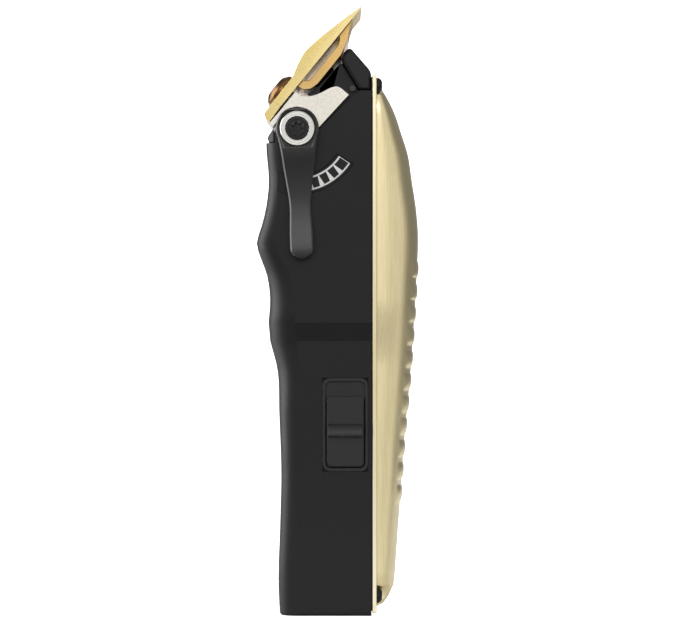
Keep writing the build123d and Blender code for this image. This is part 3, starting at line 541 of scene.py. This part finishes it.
# The ring is bare stainless steel, bright grey; the screw is oxide black. The tool's circles are
# drawn coarser than they are, so that they show.
turned_steel = lathe_face("turned_stainless_steel", "#bfbdb8", "#d2d0ca", 0.30, (0.26, 0.34), Metallic=1.0)
turned_black = lathe_face("turned_black_oxide_steel", "#121212", "#1c1c1c", 0.55, (0.32, 0.42), Metallic=0.4)
RING_STEPS = 96
ring_line = ((-0.45, 3.2), (0.2, 3.2), (0.3, 3.3), (0.3, 4.5), (0.18, 4.63), (-0.45, 4.63), (-0.45, 3.2))
ring = bmesh.new()
ring_rows = []
for rise, radius in ring_line[:-1]:
    ring_rows.append([ring.verts.new((PIVOT + NEAR * (LEVER_FACE + rise)
                                      + (ACROSS * math.cos(a) + UP * math.sin(a)) * radius) * MM)
                      for a in (2 * math.pi * i / RING_STEPS for i in range(RING_STEPS))])
for low, high in zip(ring_rows, ring_rows[1:] + ring_rows[:1]):
    for i in range(RING_STEPS):
        j = (i + 1) % RING_STEPS
        ring.faces.new((low[i], low[j], high[j], high[i]))
dress(mesh_object("hub_ring", ring), turned_steel, "lever", "bright_ring", "lever_ring")

screw_line = ((-1.2, 3.1), (0.1, 3.1), (0.22, 3.0), (0.24, 2.5), (0.12, 2.42), (0.12, 2.22), (0.3, 2.12),
              (0.38, 1.2), (0.4, 0))
screw = turned("hub_screw", screw_line, PIVOT + NEAR * LEVER_FACE, NEAR, 72)
carve(screw, lobed("six_lobe", 1.3, 0.8, 6, 0.17, PIVOT + NEAR * LEVER_FACE, NEAR))
dress(screw, turned_black, "lever", "black_screw", "lever_screw")

# ==== Lever scale ======================================================================
# A curved black plate lies in the scale recess. Two white arcs and the wedge marks between
# them are pad printed on it with a thick enamel ink.

CASE_SIDE, RECESS_DEPTH, PLATE = 22.0, 0.68, 0.25
SCALE_FACE = CASE_SIDE - RECESS_DEPTH + PLATE
INK = 0.06
INNER_ARC, OUTER_ARC = 13.95, 16.7
ARC_START, ARC_END, WEDGE_PITCH = 2.0, 56.6, 10.45


def arc_band(name, inner, outer, start, end, steps=40):
    """A printed band about the pivot, between two radii and two angles from straight down."""
    angles = [math.radians(start + (end - start) * i / steps) for i in range(steps + 1)]
    outline = ([(outer * math.sin(a), -outer * math.cos(a)) for a in angles]
               + [(inner * math.sin(a), -inner * math.cos(a)) for a in reversed(angles)])
    return prism(name, outline, SCALE_FACE, INK, PIVOT, (1, 0, 0), (0, 0, 1))


def wedge_mark(name, angle, wide, narrow, inner, outer):
    """A printed wedge that points at the pivot."""
    corners = ((inner, -narrow), (outer, -wide), (outer, wide), (inner, narrow))
    outline = [(r * math.sin(math.radians(angle + d)), -r * math.cos(math.radians(angle + d)))
               for r, d in corners]
    return prism(name, outline, SCALE_FACE, INK, PIVOT, (1, 0, 0), (0, 0, 1))


# Enamel ink: a flat white, a little thin in places. The plate under it is dull black ABS.
white_ink = surface("white_pad_printed_enamel", "#c9c9c6", "#dededb", "#e4e4e2", 0.3, (1, 1, 1),
                    (0.45, 0.55), 0.006)
plate_plastic = surface("moulded_black_abs", "#0b0b0b", "#121212", "#1d1d1d", 0.4, (1, 1, 1),
                        (0.42, 0.52), 0.01, IOR=1.36)
dress(from_node("scale_plate", "scale_arc", 0.08), plate_plastic, "housing", "black_plastic", "scale_plate")
marks = [arc_band("scale_inner_line", INNER_ARC - 0.5, INNER_ARC, ARC_START, ARC_END),
         arc_band("scale_outer_line", OUTER_ARC, OUTER_ARC + 0.4, ARC_START, ARC_END),
         arc_band("scale_end_bar", INNER_ARC, OUTER_ARC, ARC_END - 0.6, ARC_END, 4)]
wedge_places = [ARC_START + 1.0 + WEDGE_PITCH * i for i in range(5)]
marks += [wedge_mark(f"scale_wedge_{i + 1}", place, 2.2, 0.8, INNER_ARC, OUTER_ARC)
          for i, place in enumerate(wedge_places)]
for mark in marks:
    dress(mark, white_ink, "housing", "black_plastic")

# ==== Power slide ======================================================================
# A moulded frame is pressed into the side of the case, and the thumb slide runs in it. The
# slide has a raised bar, and a small oval sign above it marks the on end.

SLIDE_X, PLATE_Z, GRIP_Z, SIGN_Z = 4.9, 50.0, 50.2, 61.7
WALL_FACE = 20.9


def rounded_outline(width, height, corner, steps=8):
    """A rectangle with round corners, centred."""
    points = []
    for cx, cy, turn in ((1, 1, 0), (-1, 1, 90), (-1, -1, 180), (1, -1, 270)):
        for i in range(steps + 1):
            a = math.radians(turn + 90 * i / steps)
            points.append((cx * (width / 2 - corner) + corner * math.cos(a),
                           cy * (height / 2 - corner) + corner * math.sin(a)))
    return points


# ABS from a polished mould: black with a satin gloss that outlines the frame and the bar.
switch_abs = surface("moulded_black_abs_satin", "#161616", "#1d1d1d", "#383736", 0.4, (1, 1, 1),
                     (0.36, 0.46), 0.01, wear=(0.97, 1.0), IOR=1.42)
dress(from_node("switch_bezel", "slide_frame", 0.22, 3), switch_abs, "housing", "black_plastic",
      "switch_bezel")
slide_base = prism("slide_plate", rounded_outline(9.9, 18.8, 1.1), WALL_FACE - 0.3, 0.95,
                   (SLIDE_X, 0, PLATE_Z), (1, 0, 0), (0, 0, 1))
dress(round_edges(slide_base, 0.25, 3), switch_abs, "switch", "black_plastic", "power_slider")
grip_line = ((-1.75, 0.0), (-1.55, 1.5), (-1.2, 1.85), (0.2, 1.75), (1.1, 1.2), (1.75, 0.4), (1.9, 0.0))
grip = prism("slide_grip", [(-y, z) for z, y in grip_line][::-1], -4.7, 9.4,
             (SLIDE_X, -WALL_FACE - 0.6, GRIP_Z), (0, 1, 0), (0, 0, 1))
dress(round_edges(grip, 0.22, 3), switch_abs, "switch", "black_plastic")
for name, wide, tall, thick in (("sign_outer", 4.7, 2.8, 0.32), ("sign_inner", 2.6, 1.1, 0.28)):
    rows = [((wide / 2 - inset) * math.cos(a), (tall / 2 - inset) * math.sin(a))
            for inset in (0, thick) for a in (2 * math.pi * i / 48 for i in range(48))]
    sign = bmesh.new()
    layers = [[sign.verts.new(Vector((SLIDE_X + x, -(WALL_FACE - 0.6 + rise), SIGN_Z + z)) * MM)
               for x, z in rows] for rise in (0.0, 0.12)]
    for i in range(48):
        j = (i + 1) % 48
        for a, b in (((0, i), (0, j)), ((0, 48 + j), (0, 48 + i))):
            sign.faces.new((layers[0][a[1]], layers[0][b[1]], layers[1][b[1]], layers[1][a[1]]))
        for layer in layers:
            sign.faces.new((layer[i], layer[j], layer[48 + j], layer[48 + i]))
    dress(mesh_object(name, sign), switch_abs, "housing", "black_plastic")

# ==== Parts inside =====================================================================
# Motor, battery, board, drive and socket are plain trade parts. They keep their CAD forms
# and get the finish of their real metal, sleeve, mask or moulding.

# Plated and ground steels are cool greys, the oiled bronze and ferrite are dull, drawn copper is
# warm and bright, the sleeve and the mask are glossy films, and the lens is clear.
steel_plated = surface("zinc_plated_steel", "#8f9194", "#a9abae", "#c9cbce", 0.8, (1, 1, 1),
                       (0.3, 0.42), 0.006, Metallic=1.0)
ground_steel = surface("ground_spring_steel", "#85868a", "#a2a3a6", "#c4c5c8", 0.3, (1, 1, 0.05),
                       (0.25, 0.35), 0.004, Metallic=1.0)
sintered = surface("sintered_bronze", "#7d5a2c", "#a27a40", "#c89a58", 0.25, (1, 1, 1),
                   (0.45, 0.58), 0.012, Metallic=1.0)
ferrite = surface("pressed_ferrite", "#2a2a2b", "#3a3a3b", "#4c4c4c", 0.3, (1, 1, 1), (0.6, 0.75), 0.02)
copper = surface("drawn_copper", "#a55b34", "#c67c50", "#e2a27c", 0.3, (1, 1, 1),
                 (0.25, 0.38), 0.004, Metallic=1.0)
sleeve = surface("pvc_shrink_sleeve", "#1c4f7d", "#255f92", "#4a80ae", 0.6, (1, 1, 1), (0.28, 0.36), 0.006)
solder_mask = surface("green_solder_mask", "#0f4a2a", "#176038", "#2f7a52", 0.5, (1, 1, 1),
                      (0.3, 0.4), 0.006)
lens = surface("moulded_clear_polycarbonate", "#dfe9e8", "#eef5f4", "#ffffff", 0.5, (1, 1, 1),
               (0.1, 0.16), 0.002, Transmission_Weight=0.8, IOR=1.58)
inside = {
    black_nylon: ("cutter_yoke", "battery_cradle", "motor_end_cap", "switch_body", "switch_actuator",
                  "dc_socket"),
    steel_plated: ("motor_can", "motor_bracket", "motor_screws", "board_screws"),
    ground_steel: ("lever_cam", "blade_spring", "motor_shaft", "drive_pin"),
    sintered: ("front_bush", "eccentric"),
    ferrite: ("motor_magnets", "armature"),
    copper: ("commutator", "battery_tabs", "socket_contact"),
    sleeve: ("battery_cell",),
    solder_mask: ("control_board",),
    lens: ("charge_led",),
}
for material, nodes in inside.items():
    for node in nodes:
        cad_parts[node].data.materials.clear()
        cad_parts[node].data.materials.append(material)

# ==== Stage ============================================================================
# The clipper stands on a pale seamless sweep. A tall soft box lights it from the left, a low
# wide one from the front, and the room does the rest. The camera looks level across it.

# Matt white paper: it shows plain white and throws only a little light back on the clipper.
white_paper = surface("white_backdrop_paper", "#f4f4f4", "#f8f8f8", "#f8f8f8", 2.0, (1, 1, 1),
                      (0.8, 0.9), 0.01,
                      Emission_Color=(1, 1, 1, 1))
paper = white_paper.node_tree
path = add(paper, "ShaderNodeLightPath")
glow = add(paper, "ShaderNodeMapRange", {"To Min": 0.05, "To Max": 0.9}, {"Value": (path, "Is Camera Ray")})
paper.links.new(glow.outputs["Result"], paper.nodes["Principled BSDF"].inputs["Emission Strength"])
sweep = bmesh.new()
profile = [(-0.1, 0.0), (1.25, 0.0)]
turns = [math.pi / 2 * i / 16 for i in range(1, 17)]
profile += [(1.25 + 0.5 * math.sin(a), 0.5 - 0.5 * math.cos(a)) for a in turns]
profile += [(1.75, 2.2)]
edges = [[sweep.verts.new((x, y, z)) for y, z in profile] for x in (-0.36, 0.36)]
for i in range(len(profile) - 1):
    sweep.faces.new((edges[0][i], edges[1][i], edges[1][i + 1], edges[0][i + 1]))
backdrop = mesh_object("backdrop", sweep)
backdrop.data.materials.append(white_paper)

# The room is bright in front of the clipper, dim behind it and dim below.
world = bpy.data.worlds.new("studio")
world.use_nodes = True
room = world.node_tree
gaze = add(room, "ShaderNodeTexCoord")
split = add(room, "ShaderNodeSeparateXYZ", links={"Vector": (gaze, "Generated")})
ahead = add(room, "ShaderNodeMapRange",
            {"From Min": -0.15, "From Max": 0.55, "To Min": 0.85, "To Max": 0.22},
            {"Value": (split, "Y")}, interpolation_type="SMOOTHSTEP")
above = add(room, "ShaderNodeMapRange", {"From Min": -0.35, "From Max": 0.0, "To Min": 0.4, "To Max": 1.0},
            {"Value": (split, "Z")}, interpolation_type="SMOOTHSTEP")
light = add(room, "ShaderNodeMath", links={0: (ahead, "Result"), 1: (above, "Result")}, operation="MULTIPLY")
room.links.new(light.outputs["Value"], room.nodes["Background"].inputs["Strength"])
room.nodes["Background"].inputs["Color"].default_value = (1, 1, 1, 1)
bpy.context.scene.world = world
bpy.context.scene.view_settings.view_transform = "Standard"

AIM = Vector((3.45, 0.0, 81.56)) * MM


def soft_box(name, place, size, power):
    """A rectangular area light that faces the clipper."""
    lamp = bpy.data.lights.new(name, "AREA")
    lamp.shape = "RECTANGLE"
    lamp.size, lamp.size_y = size
    lamp.energy = power
    box = bpy.data.objects.new(name, lamp)
    box.location = place
    box.rotation_euler = (AIM - Vector(place)).to_track_quat("-Z", "Y").to_euler()
    bpy.context.collection.objects.link(box)


soft_box("left_box", (-0.8, 0.15, 0.15), (0.7, 1.2), 12.0)
soft_box("top_box", (0.0, -1.5, 0.62), (1.2, 0.3), 4.0)

lens_data = bpy.data.cameras.new("camera")
lens_data.sensor_width = 36.0
lens_data.lens = 211.0
camera = bpy.data.objects.new("camera", lens_data)
camera.location = AIM + Vector((0, -1.1, 0))
camera.rotation_euler = (math.pi / 2, 0, 0)
bpy.context.collection.objects.link(camera)
bpy.context.scene.camera = camera
